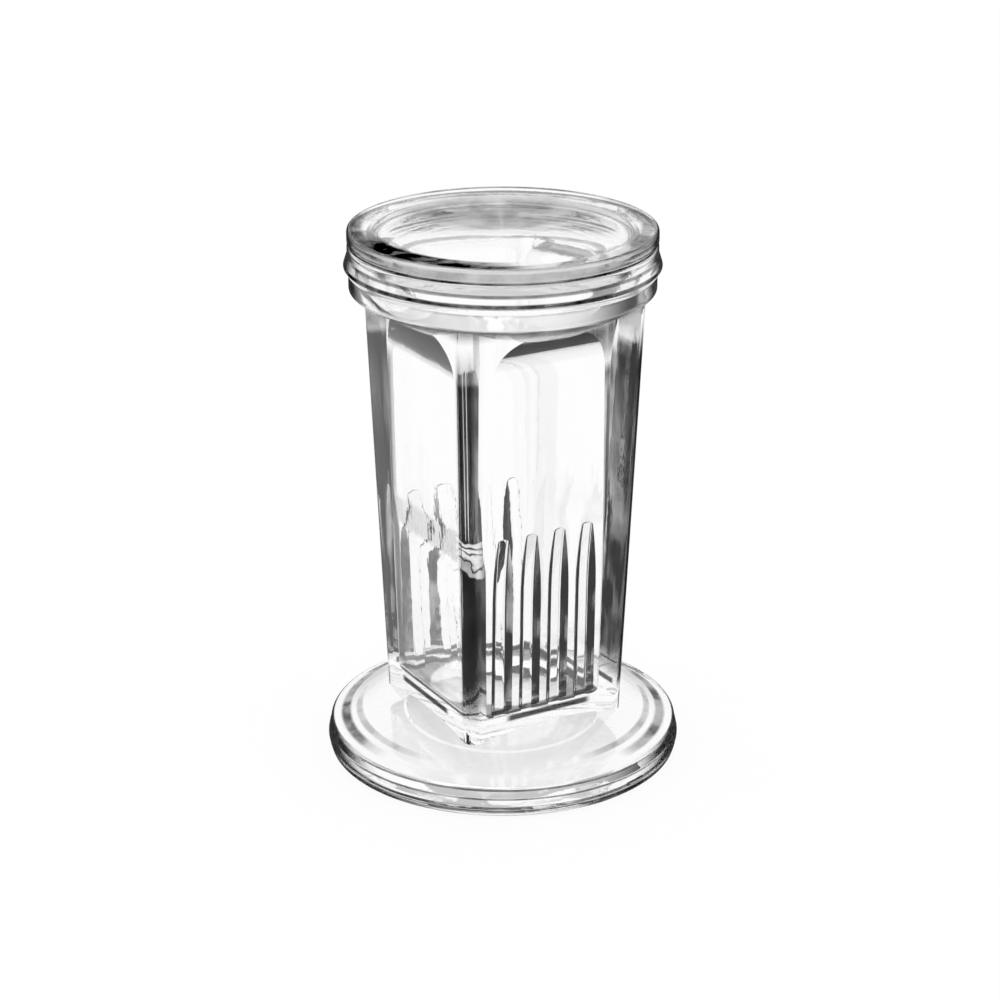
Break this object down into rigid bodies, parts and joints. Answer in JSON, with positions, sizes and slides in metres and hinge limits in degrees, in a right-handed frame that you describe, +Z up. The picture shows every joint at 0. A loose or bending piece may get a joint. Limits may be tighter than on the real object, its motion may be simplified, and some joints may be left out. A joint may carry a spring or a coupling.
{
  "type": "slide staining jar",
  "caption": "Clear pressed-glass staining jar: square tapered body with inner ribs that hold microscope slides upright, a round foot, a beaded rim and a loose cover.",
  "frame": {"origin": "centre of the foot's underside, on the surface the jar stands on", "axes": "+Z up the jar's axis; the plain walls face +X and -X, the ribbed walls face +Y and -Y"},
  "size_m": [0.0658, 0.0656, 0.1],
  "materials": {
    "jar_glass": "clear fire-polished pressed glass",
    "cover_glass": "clear fire-polished pressed glass"
  },
  "bodies": {
    "root": {"jar": "jar_glass", "cover": "cover_glass"}
  },
  "joints": []
}
